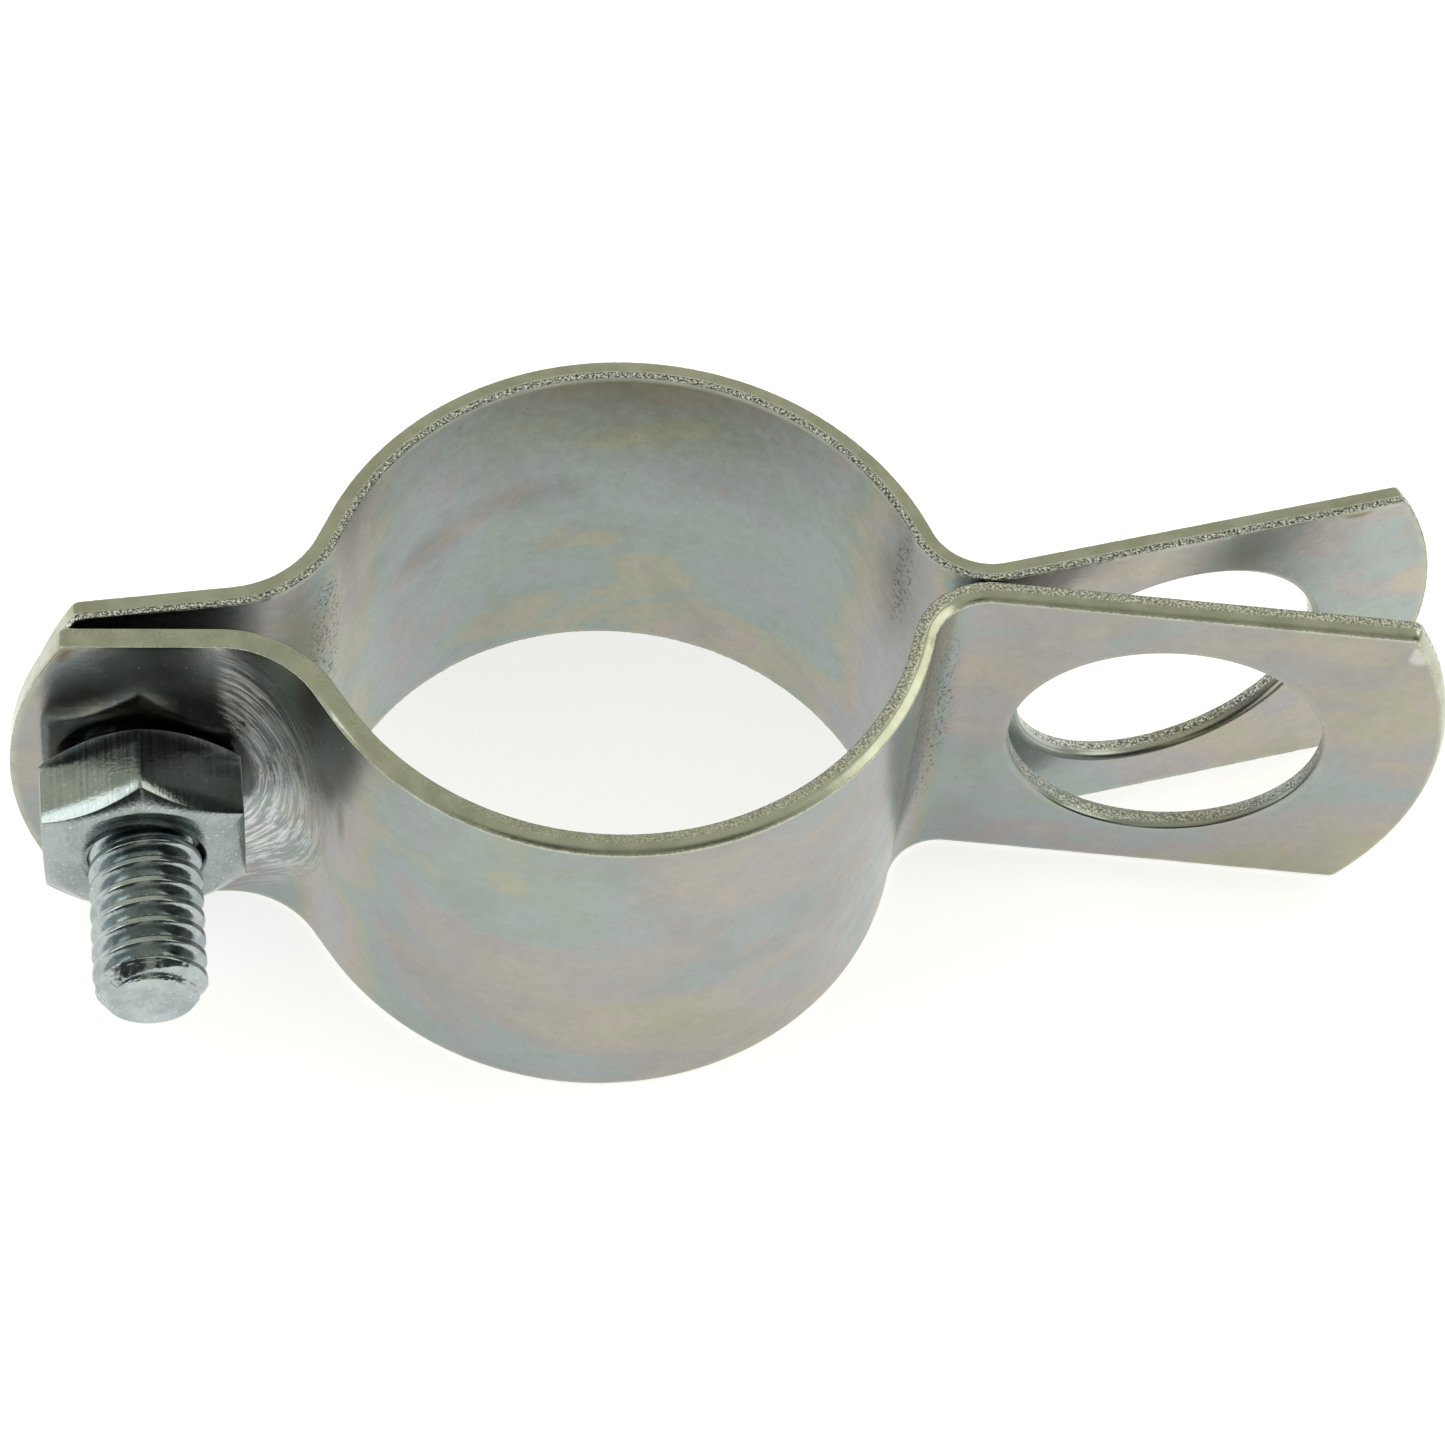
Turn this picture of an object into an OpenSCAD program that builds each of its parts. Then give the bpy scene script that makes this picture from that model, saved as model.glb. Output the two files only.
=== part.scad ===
// Split hose clamp with two shackle eyes.
// Two identical pressed steel bands face each other across the plane y = 0. A bolt
// and nut close them at the left ears, and the right ears flare apart round two eyes.
// X runs along the clamp, Y from the nut side to the head side, Z up along the hose.
// The origin is on the hose axis, level with the lower edges of the bands.

/* [Band] */
// Width of each band, along the hose
band_w = 25.4; // [20:0.1:30]
// Thickness of the sheet
band_t = 1.2; // [1:0.05:1.4]
// Gap left between the closed halves where they meet
closed_gap = 0.1; // [0.06:0.01:0.2]
// Distance each half sits off centre along X, in the play of its bolt hole
half_offset = 0.4; // [0:0.05:0.5]

/* [Hose ring] */
// Inside radius of the round stretch of each half
ring_r = 16.8; // [15:0.1:19]
// Sweep of the round stretch from its middle towards the bolt
ring_to_bolt = 62; // [58:0.5:64]
// Sweep of the round stretch from its middle towards the eyes
ring_to_eye = 72.8; // [70:0.2:75]

/* [Bolt ears] */
// Inside radius of the bend between the ring and the bolt ear
bolt_bend_r = 5.9; // [5:0.1:6.5]
// Tilt of the bolt ear away from the middle plane
bolt_ear_tilt = 3.5; // [2.5:0.1:4.5]
// Length of the bolt ear from its bend to the middle of its rounded end
bolt_ear_len = 11.8; // [11:0.1:14]
// Radius of the bolt ear's rounded end
bolt_ear_end_r = 25.8; // [20:0.1:40]
// Distance from the bend to the bolt hole's centre
bolt_inset = 5; // [4.6:0.1:5.5]
// Diameter of the bolt hole
bolt_hole_d = 7.6; // [7.4:0.1:8]

/* [Eye ears] */
// Inside radius of the bend between the ring and the eye ear
neck_bend_r = 3.4; // [2.5:0.1:5]
// Tilt of the eye ear away from the middle plane
eye_ear_tilt = 9.8; // [6:0.1:12]
// Length of the eye ear from its bend to the middle of its rounded end
eye_ear_len = 27; // [25:0.1:32]
// Radius of the eye ear's rounded end
eye_ear_end_r = 24.4; // [20:0.1:24.6]
// Distance from the bend to the eye's centre
eye_inset = 11.2; // [10.5:0.1:13]
// Diameter of the shackle eye
eye_d = 18; // [12:0.1:19]

/* [Bolt and nut] */
// Diameter over the bolt's thread
bolt_d = 6.25; // [6:0.05:6.3]
// Length of the bolt under its head
bolt_len = 18.4; // [17:0.05:25.4]
// Length of the chamfer at the bolt's end
bolt_tip_chamfer = 0.75; // [0.4:0.05:1]
// Diameter of the bolt's round head
head_d = 11.7; // [11.2:0.1:12]
// Height of the bolt's head
head_h = 4; // [3.8:0.1:4.4]
// Width of the driver slot across the head
slot_w = 1.7; // [1.6:0.05:1.9]
// Depth of the driver slot
slot_depth = 2.2; // [2:0.1:2.5]
// Width across the flats of the nut
nut_af = 11.1; // [10.8:0.05:11.2]
// Height of the nut
nut_h = 5.4; // [4.6:0.05:5.6]
// Radial play between the bolt and the nut's bore
thread_play = 0.05; // [0.02:0.01:0.1]

/* [Hidden] */

$fn = 96;
band_colour = [0.72, 0.71, 0.65];
bolt_colour = [0.62, 0.62, 0.58];
nut_colour = [0.68, 0.68, 0.64];

// Radii of the band's middle line
ring_mid_r = ring_r + band_t / 2;
bolt_bend_mid_r = bolt_bend_r + band_t / 2;
neck_bend_mid_r = neck_bend_r + band_t / 2;

// The neck bend touches the middle plane, which sets how far the ring's centre lies
// on the other half's side of that plane.
neck_y = -closed_gap / 2 - band_t / 2 - neck_bend_mid_r;
ring_y = neck_y + (ring_mid_r + neck_bend_mid_r) * cos(ring_to_eye);
neck_x = (ring_mid_r + neck_bend_mid_r) * sin(ring_to_eye);
eye_root_x = neck_x + neck_bend_mid_r * sin(eye_ear_tilt);
eye_root_y = neck_y + neck_bend_mid_r * cos(eye_ear_tilt);

// The bolt ear's end touches the same plane, which sets the length of the straight
// stretch between the ring and the bolt bend.
ear_root_y = -closed_gap / 2 - band_t / 2 * cos(bolt_ear_tilt) - bolt_ear_len * sin(bolt_ear_tilt);
ring_end_x = -ring_mid_r * sin(ring_to_bolt);
ring_end_y = ring_y - ring_mid_r * cos(ring_to_bolt);
bend_rise = bolt_bend_mid_r * (cos(bolt_ear_tilt) - cos(ring_to_bolt));
straight_len = (ear_root_y - ring_end_y - bend_rise) / sin(ring_to_bolt);
bend_x = ring_end_x - straight_len * cos(ring_to_bolt) - bolt_bend_mid_r * sin(ring_to_bolt);
bend_y = ring_end_y + straight_len * sin(ring_to_bolt) - bolt_bend_mid_r * cos(ring_to_bolt);
ear_root_x = bend_x + bolt_bend_mid_r * sin(bolt_ear_tilt);

// The bolt stands square to the middle plane, at half the band's width.
bolt_x = ear_root_x - bolt_inset * cos(bolt_ear_tilt);
bolt_z = band_w / 2;
bolt_r = bolt_d / 2;
head_r = head_d / 2;
nut_seat_r = 0.45 * nut_af;
seat_play = 0.03;

// Angle between neighbouring points on the band's bends and on the bolt's domed head
arc_step = 2.5;
dome_step = 7.5;

// Distance of an ear's outer face from the middle plane, at a distance from its bend
function ear_face(from_bend) =
    -ear_root_y - from_bend * sin(bolt_ear_tilt) + band_t / 2 / cos(bolt_ear_tilt);

// A round seat rests on the bend side of its tilted ear, so its middle stands off.
function seat_gap(from_bend, seat_r) =
    seat_r * tan(bolt_ear_tilt) + pow(max(0, seat_r - from_bend), 2) / (2 * bolt_bend_r) + seat_play;

front_from_bend = bolt_inset - half_offset;
rear_from_bend = bolt_inset + half_offset;
nut_seat_y = -ear_face(front_from_bend) - seat_gap(front_from_bend, nut_seat_r);
head_seat_y = ear_face(rear_from_bend) + seat_gap(rear_from_bend, head_r);

// Points along an arc in plan, from one polar angle to another
function arc_points(centre, radius, from_angle, to_angle) =
    let (steps = ceil(abs(to_angle - from_angle) / arc_step))
    [for (i = [0 : steps])
        let (a = from_angle + (to_angle - from_angle) * i / steps)
        centre + radius * [cos(a), sin(a)]];

// Place in plan on the end of an ear: heading is the ear's direction away from its
// bend, and side is the offset from its middle line.
function ear_end(root, heading, length, side) =
    root + length * [cos(heading), sin(heading)] + side * [-sin(heading), cos(heading)];

// One face of the band in plan, from the bolt ear's end to the eye ear's end.
// side is half the thickness: positive towards the hose, negative outside.
function band_face(side) = concat(
    [ear_end([ear_root_x, ear_root_y], 180 - bolt_ear_tilt, bolt_ear_len, -side)],
    arc_points([bend_x, bend_y], bolt_bend_mid_r + side, 90 - bolt_ear_tilt, 90 - ring_to_bolt),
    arc_points([0, ring_y], ring_mid_r - side, 270 - ring_to_bolt, 270 + ring_to_eye),
    arc_points([neck_x, neck_y], neck_bend_mid_r + side, 90 + ring_to_eye, 90 - eye_ear_tilt),
    [ear_end([eye_root_x, eye_root_y], -eye_ear_tilt, eye_ear_len, side)]);

function reversed(points) = [for (i = [len(points) - 1 : -1 : 0]) points[i]];

// The bent strip before its ends are rounded and its holes are punched
module bent_strip() {
    linear_extrude(band_w)
        polygon(concat(band_face(band_t / 2), reversed(band_face(-band_t / 2))));
}

// A round punch square through an ear that runs along local +X
module punch(along, radius) {
    translate([along, 3 * band_t, band_w / 2])
        rotate([90, 0, 0])
            cylinder(h = 6 * band_t, r = radius);
}

// What is cut from the corners of an ear to round its end
module end_trim(length, end_r) {
    difference() {
        translate([0, -2 * band_t, -1])
            cube([length + 1, 4 * band_t, band_w + 2]);
        punch(length - end_r, end_r);
    }
}

// One pressed half, on the -Y side of the middle plane
module half_band() {
    difference() {
        bent_strip();
        translate([ear_root_x, ear_root_y, 0])
            rotate([0, 0, 180 - bolt_ear_tilt])
                end_trim(bolt_ear_len, bolt_ear_end_r);
        translate([eye_root_x, eye_root_y, 0])
            rotate([0, 0, -eye_ear_tilt]) {
                end_trim(eye_ear_len, eye_ear_end_r);
                punch(eye_inset, eye_d / 2);
            }
        translate([bolt_x, 0, bolt_z])
            rotate([90, 0, 0])
                cylinder(h = 8 * band_t, r = bolt_hole_d / 2);
    }
}

// A hexagon with a corner up and its corners turned off at both ends, along +Z
module nut_blank() {
    corner_r = nut_af / sqrt(3);
    turned = (corner_r - nut_seat_r) * tan(30);
    intersection() {
        rotate([0, 0, 30])
            cylinder(h = nut_h, r = corner_r, $fn = 6);
        rotate_extrude()
            polygon([[0, 0], [nut_seat_r, 0], [corner_r, turned], [corner_r, nut_h - turned],
                     [nut_seat_r, nut_h], [0, nut_h]]);
    }
}

module front_band() {
    color(band_colour)
        translate([-half_offset, 0, 0])
            half_band();
}

module rear_band() {
    color(band_colour)
        translate([half_offset, 0, 0])
            mirror([0, 1, 0])
                half_band();
}

// The bolt in section from its domed head, below zero, to its chamfered tip
function bolt_section() = concat(
    [for (a = [0 : dome_step : 90]) [head_r * sin(a), -head_h * cos(a)]],
    [[bolt_r, 0], [bolt_r, bolt_len - bolt_tip_chamfer],
     [bolt_r - bolt_tip_chamfer, bolt_len], [0, bolt_len]]);

// Local +Z runs from the head's seat to the tip of the bolt.
module round_head_bolt() {
    color(bolt_colour)
        translate([bolt_x, head_seat_y, bolt_z])
            rotate([90, 0, 0])
                difference() {
                    rotate_extrude()
                        polygon(bolt_section());
                    translate([-head_d, -slot_w / 2, -head_h - 1])
                        cube([2 * head_d, slot_w, slot_depth + 1]);
                }
}

module hex_nut() {
    bore_r = bolt_r + thread_play;
    countersink = 0.35;
    color(nut_colour)
        translate([bolt_x, nut_seat_y, bolt_z])
            rotate([90, 0, 0])
                difference() {
                    nut_blank();
                    translate([0, 0, -1])
                        cylinder(h = nut_h + 2, r = bore_r);
                    translate([0, 0, nut_h - countersink])
                        cylinder(h = countersink, r1 = bore_r, r2 = bore_r + countersink);
                    cylinder(h = countersink, r1 = bore_r + countersink, r2 = bore_r);
                }
}

front_band();
rear_band();
round_head_bolt();
hex_nut();
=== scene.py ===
"""Looks of the split hose clamp: two zinc plated bands, a round head bolt and its nut."""

import math

import bmesh
import bpy
import numpy as np
from mathutils import Matrix, Vector, noise
from mathutils.geometry import delaunay_2d_cdt


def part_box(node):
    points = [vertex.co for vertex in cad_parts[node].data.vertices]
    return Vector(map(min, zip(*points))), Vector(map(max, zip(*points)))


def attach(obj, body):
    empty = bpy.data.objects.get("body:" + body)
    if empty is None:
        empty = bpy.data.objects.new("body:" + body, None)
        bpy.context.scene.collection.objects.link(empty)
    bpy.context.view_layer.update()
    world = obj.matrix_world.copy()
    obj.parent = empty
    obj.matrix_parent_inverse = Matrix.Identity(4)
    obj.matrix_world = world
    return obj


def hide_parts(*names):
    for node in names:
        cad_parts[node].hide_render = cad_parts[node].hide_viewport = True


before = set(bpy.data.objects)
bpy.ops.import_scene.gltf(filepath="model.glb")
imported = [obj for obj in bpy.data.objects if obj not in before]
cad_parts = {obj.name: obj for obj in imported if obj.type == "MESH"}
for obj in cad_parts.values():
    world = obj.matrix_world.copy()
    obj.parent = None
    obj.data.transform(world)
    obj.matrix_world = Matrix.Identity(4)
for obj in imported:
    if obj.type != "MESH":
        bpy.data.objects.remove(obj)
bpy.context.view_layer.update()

# ---------------------------------------------------------------- sizes, in metres
MM = 0.001
BAND_LOW, BAND_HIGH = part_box("front_band")
BAND_W = BAND_HIGH.z - BAND_LOW.z
BAND_T = 1.2 * MM
CLOSED_GAP = 0.1 * MM
HALF_OFFSET = 0.4 * MM

RING_R = 16.8 * MM
RING_TO_BOLT = math.radians(62)
RING_TO_EYE = math.radians(72.8)

BOLT_BEND_R = 5.9 * MM
BOLT_EAR_TILT = math.radians(3.5)
BOLT_EAR_LEN = 11.8 * MM
BOLT_EAR_END_R = 25.8 * MM
BOLT_INSET = 5.0 * MM
BOLT_HOLE_R = 3.8 * MM

NECK_BEND_R = 3.4 * MM
EYE_EAR_TILT = math.radians(9.8)
EYE_EAR_LEN = 27.0 * MM
EYE_EAR_END_R = 24.4 * MM
EYE_INSET = 11.2 * MM
EYE_R = 9.0 * MM

BOLT_LOW, BOLT_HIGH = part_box("round_head_bolt")
NUT_LOW, NUT_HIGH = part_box("hex_nut")
BOLT_X = (NUT_LOW.x + NUT_HIGH.x) / 2
BOLT_Z = (NUT_LOW.z + NUT_HIGH.z) / 2
HEX_APOTHEM = (NUT_HIGH.x - NUT_LOW.x) / 2
NUT_SEAT_R = 0.9 * HEX_APOTHEM
HEX_CORNER_ROUND = 0.18 * MM
HEX_ROUND_START = math.atan((HEX_APOTHEM - HEX_CORNER_ROUND) * math.tan(math.radians(30)) / HEX_APOTHEM)
HEX_CHAMFER = math.tan(math.radians(30))
HEAD_R = (BOLT_HIGH.x - BOLT_LOW.x) / 2
HEAD_H = 4.0 * MM
SLOT_W = 1.7 * MM
SLOT_DEPTH = 2.2 * MM
SEAT_Y = BOLT_HIGH.y - HEAD_H
BOLT_LEN = SEAT_Y - BOLT_LOW.y
BOLT_R = 3.125 * MM
TIP_R = 2.375 * MM
PITCH = 1.27 * MM
THREAD_DEPTH = 0.74 * MM
THREAD_FLANK = 0.76
NUT_THREAD_DEPTH = 0.55 * MM
THREAD_PLAY = 0.03 * MM

FLOOR_HALF = 1.5

# Steps of the meshes. FACE_INSET is how far the rings of an edge reach into the faces, and bends
# tighter than TIGHT_BEND_R take BEND_STEP. The bolt's edges over SHARP_ANGLE are shaded sharp.
OUTLINE_STEP = 0.13 * MM
CORNER_SMOOTHING = 3
FACE_INSET = 0.5 * MM
FACE_STEP = 0.75 * MM
BEND_STEP = 0.35 * MM
TIGHT_BEND_R = 10 * MM
BOLT_SIDES = 128
BOLT_STEP = 0.045 * MM
NUT_STEP = 0.07 * MM
SHARP_ANGLE = math.radians(40)

# ---------------------------------------------------------------- view of the object
VIEW_AZIMUTH = math.radians(-13.0)
VIEW_ELEVATION = math.radians(56.43)
VIEW_ROLL = math.radians(8.0)
VIEW_DISTANCE = 254.1 * MM
VIEW_AIM = Vector((6.4, -0.2, 12.7)) * MM
VIEW_LENS = 111.0


# ================================================================ band shape
def band_stretches():
    """(length, turn) of each stretch of a band's middle line, from bolt ear to eye ear."""
    ring = RING_R + BAND_T / 2
    bend = BOLT_BEND_R + BAND_T / 2
    neck = NECK_BEND_R + BAND_T / 2
    ring_y = (ring + neck) * math.cos(RING_TO_EYE) - CLOSED_GAP / 2 - BAND_T / 2 - neck
    root_y = (-CLOSED_GAP / 2 - BAND_T / 2 * math.cos(BOLT_EAR_TILT)
              - BOLT_EAR_LEN * math.sin(BOLT_EAR_TILT))
    rise = bend * (math.cos(BOLT_EAR_TILT) - math.cos(RING_TO_BOLT))
    straight = (root_y - ring_y + ring * math.cos(RING_TO_BOLT) - rise) / math.sin(RING_TO_BOLT)
    bolt_turn = RING_TO_BOLT - BOLT_EAR_TILT
    ring_turn = RING_TO_BOLT + RING_TO_EYE
    neck_turn = RING_TO_EYE + EYE_EAR_TILT
    return [(BOLT_EAR_LEN, 0), (bend * bolt_turn, -bolt_turn), (straight, 0),
            (ring * ring_turn, ring_turn), (neck * neck_turn, -neck_turn), (EYE_EAR_LEN, 0)]


STRETCHES = band_stretches()
BAND_LEN = sum(length for length, turn in STRETCHES)
BOLT_HOLE_S = BOLT_EAR_LEN - BOLT_INSET
EYE_S = BAND_LEN - EYE_EAR_LEN + EYE_INSET
RING_START_S = sum(length for length, turn in STRETCHES[:3])
RING_END_S = RING_START_S + STRETCHES[3][0]


def along_stretch(begin, length, turn, distance):
    """x, y and heading at distances along one stretch. begin is the same three at its start."""
    x, y, heading = begin
    if turn == 0:
        there = heading + 0 * distance
        return x + distance * math.cos(heading), y + distance * math.sin(heading), there
    curve = turn / length
    there = heading + curve * distance
    return (x + (np.sin(there) - math.sin(heading)) / curve,
            y - (np.cos(there) - math.cos(heading)) / curve, there)


def walk(s):
    """Middle line of the front band before it is put in place: x, y and heading at each s."""
    x = np.zeros_like(s)
    y = np.zeros_like(s)
    heading = np.zeros_like(s)
    begin = (0.0, 0.0, -BOLT_EAR_TILT)
    start = 0.0
    for length, turn in STRETCHES:
        here = s >= start if start > 0 else np.full(s.shape, True)
        x_here, y_here, heading_here = along_stretch(begin, length, turn, s - start)
        x[here] = x_here[here]
        y[here] = y_here[here]
        heading[here] = heading_here[here]
        begin = [part[0] for part in along_stretch(begin, length, turn, np.array([length]))]
        start += length
    return x, y, heading


def placing_shift():
    """What moves the walked line so that the ring's centre has x = 0 and the neck's inner side
    comes within half the closed gap of y = 0."""
    x, y, heading = walk(np.array([RING_START_S, RING_END_S]))
    ring = RING_R + BAND_T / 2
    neck = NECK_BEND_R + BAND_T / 2
    ring_x = x[0] - ring * math.sin(heading[0])
    neck_y = y[1] - neck * math.cos(heading[1])
    return -ring_x, -CLOSED_GAP / 2 - BAND_T / 2 - neck - neck_y


SHIFT = placing_shift()


def bend_into_place(s, z, off, side):
    """Takes flat band places to the clamp. off is positive on the hose side; side is -1 for the
    front band and 1 for the rear band."""
    x, y, heading = walk(s)
    x = x + SHIFT[0] - off * np.sin(heading)
    y = y + SHIFT[1] + off * np.cos(heading)
    return np.stack([x + side * HALF_OFFSET, -side * y, z], axis=1)


def closed_curve_normals(points):
    """Unit normals that point out of a counter-clockwise loop."""
    along = np.roll(points, -1, axis=0) - np.roll(points, 1, axis=0)
    normal = np.stack([along[:, 1], -along[:, 0]], axis=1)
    return normal / np.linalg.norm(normal, axis=1)[:, None]


def smoothed_loop(points, reach):
    """Averages each point with its neighbours, which rounds the corners of a loop."""
    total = points.copy()
    for k in range(1, reach + 1):
        total += np.roll(points, k, axis=0) + np.roll(points, -k, axis=0)
    return total / (2 * reach + 1)


def strip_outline():
    """Flat outline of a band: straight sides and a rounded end on each ear."""
    def corner(radius):
        """How far a rounded end falls back at the strip's two sides."""
        return radius - math.sqrt(radius ** 2 - (BAND_W / 2) ** 2)

    def end_arc(centre, radius, first, last):
        """Points of a rounded end between two angles."""
        count = int(radius * abs(last - first) / OUTLINE_STEP)
        angle = np.linspace(first, last, count, endpoint=False)
        return np.stack([centre + radius * np.cos(angle), BAND_W / 2 + radius * np.sin(angle)], axis=1)

    left = corner(BOLT_EAR_END_R)
    right = BAND_LEN - corner(EYE_EAR_END_R)
    along = np.linspace(left, right, int((right - left) / OUTLINE_STEP), endpoint=False)
    eye_half = math.asin(BAND_W / 2 / EYE_EAR_END_R)
    bolt_half = math.asin(BAND_W / 2 / BOLT_EAR_END_R)
    lower = np.stack([along, 0 * along], axis=1)
    upper = np.stack([left + right - along, 0 * along + BAND_W], axis=1)
    eye_end = end_arc(BAND_LEN - EYE_EAR_END_R, EYE_EAR_END_R, -eye_half, eye_half)
    bolt_end = end_arc(BOLT_EAR_END_R, BOLT_EAR_END_R, math.pi - bolt_half, math.pi + bolt_half)
    return smoothed_loop(np.concatenate([lower, eye_end, upper, bolt_end]), CORNER_SMOOTHING)


def hole_outline(s, radius):
    """Flat outline of a punched hole, clockwise so that its normals point into the hole."""
    angle = np.linspace(0, -2 * math.pi, int(2 * math.pi * radius / OUTLINE_STEP), endpoint=False)
    return np.stack([s + radius * np.cos(angle), BAND_W / 2 + radius * np.sin(angle)], axis=1)


def trimmed_edge(side, facet):
    """Rings across a trimmed edge from the hose side to the outer side, as (inset, offset, tear).
    The edge is torn towards the hose side and burnished towards the outer side. facet, from 0 to
    1 round the outline, is the share of its full lean that the burnished part has there."""
    half = BAND_T / 2
    torn_width = (0.5 if side < 0 else 0.3) * MM
    lean = (0.24 if side < 0 else 0.1) * MM
    step = (0.0 if side < 0 else 0.05) * MM
    rings = [(FACE_INSET, half, 0), (0.14 * MM, half, 0), (0.06 * MM, half, 0.5),
             (0.02 * MM, half - 0.015 * MM, 1), (0, half - 0.06 * MM, 1)]
    for k in range(1, 6):
        rings.append((0, half - 0.06 * MM - (torn_width - 0.06 * MM) * k / 5, 1))
    start = half - torn_width - 0.04 * MM
    burnished = start + half - 0.07 * MM
    for k in range(7):
        inset = step * (k > 0) + lean * facet * (k / 6) ** 1.6
        rings.append((inset, start - burnished * k / 6, 0.6 * (k == 0)))
    last = step + lean * facet
    rings += [(last + 0.02 * MM, -half + 0.02 * MM, 0.5), (last + 0.07 * MM, -half, 0.25),
              (last + 0.13 * MM, -half, 0), (FACE_INSET, -half, 0)]
    return rings


def punched_edge(side):
    """Rings across a punched edge, rolled over on the side that met the punch: the outer side of
    the front band and the hose side of the rear band."""
    half = BAND_T / 2
    roll = (0.22 if side < 0 else 0.42) * MM
    rings = [(FACE_INSET, half, 0)]
    for k in range(7):
        a = math.radians(90) * k / 6
        rings.append((roll * (1 - math.sin(a)), half - roll * (1 - math.cos(a)), 0))
    if side < 0:
        rings = [(inset, -offset, tear) for inset, offset, tear in rings]
    far = -half if side > 0 else half
    wall = rings[-1][1]
    for k in range(1, 6):
        rings.append((0, wall + (far - wall) * k / 6, 0.9 if k in (2, 3, 4) else 0.3))
    rings += [(0.01 * MM, far * 0.94, 0.7), (0.05 * MM, far, 0.4), (0.12 * MM, far, 0),
              (FACE_INSET, far, 0)]
    return rings if side > 0 else rings[::-1]


def torn(place, size, seed):
    """Smooth repeatable noise from -1 to 1 at a place on a surface laid flat."""
    return noise.noise(Vector((place[0] / size, place[1] / size, seed)))


def face_grid():
    """Places inside a band's faces, closer together where the sheet bends tightly."""
    columns = []
    start = 0.0
    for length, turn in STRETCHES:
        step = BEND_STEP if abs(turn) / length > 1 / TIGHT_BEND_R else FACE_STEP
        count = max(2, int(length / step))
        columns += list(start + length * np.arange(count) / count)
        start += length
    rows = np.linspace(0, BAND_W, int(BAND_W / FACE_STEP))
    grid = np.array([(s, z) for s in columns for z in rows])
    margin = FACE_INSET + 0.3 * MM
    s, z = grid[:, 0], grid[:, 1]
    keep = (z > margin) & (z < BAND_W - margin)
    for centre, radius in ((BOLT_EAR_END_R, BOLT_EAR_END_R), (BAND_LEN - EYE_EAR_END_R, EYE_EAR_END_R)):
        end_side = (s - centre) * (1 if centre > BAND_LEN / 2 else -1) > 0
        keep &= ~end_side | (np.hypot(s - centre, z - BAND_W / 2) < radius - margin)
    for centre, radius in ((BOLT_HOLE_S, BOLT_HOLE_R), (EYE_S, EYE_R)):
        keep &= np.hypot(s - centre, z - BAND_W / 2) > radius + margin
    return grid[keep]


def triangulated_face(loops):
    """Flat triangles between the inset loops. Returns the points and the triangles, without the
    thin ones that only join points on the rim of one hole."""
    points = []
    edges = []
    for loop in loops:
        first = len(points)
        points += [tuple(p / MM) for p in loop]
        edges += [(first + k, first + (k + 1) % len(loop)) for k in range(len(loop))]
    points += [tuple(p / MM) for p in face_grid()]
    inside_outline = 1
    closest = 1e-6
    found = delaunay_2d_cdt([Vector(p) for p in points], edges, [], inside_outline, closest)
    flat = np.array([tuple(v) for v in found[0]]) * MM
    triangles = np.array([tuple(face) for face in found[2]])
    for s, radius in ((BOLT_HOLE_S, BOLT_HOLE_R), (EYE_S, EYE_R)):
        away = np.hypot(flat[:, 0] - s, flat[:, 1] - BAND_W / 2)
        on_rim = np.abs(away - radius - FACE_INSET) < 0.001 * MM
        triangles = triangles[~on_rim[triangles].all(axis=1)]
    return flat, triangles.tolist()


def new_object(name, mesh):
    """A new object in the scene that shows this mesh."""
    piece = bpy.data.objects.new(name, mesh)
    bpy.context.scene.collection.objects.link(piece)
    return piece


def edge_rings(loop, normal, rings, side):
    """Every ring round one outline as (places, offsets, tear), roughened where the metal tore."""
    count = len(loop)
    roughness = (0.02 if side < 0 else 0.035) * MM
    coarse = np.array([torn(place, 0.5 * MM, 3 + side) for place in loop])
    places = []
    for number, (inset, offset, tear) in enumerate(rings):
        fine = np.array([torn(place, 0.22 * MM, 11.3 * number + side) for place in loop])
        bite = np.abs(coarse * 0.6 + fine) * roughness * (tear == 1)
        shift = np.clip(fine, -1, 0) * 0.03 * MM * (tear == 0.5)
        place = loop - normal * (np.broadcast_to(inset, (count,)) + bite)[:, None]
        places.append((place, offset + shift * np.sign(offset), tear))
    return places


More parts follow.
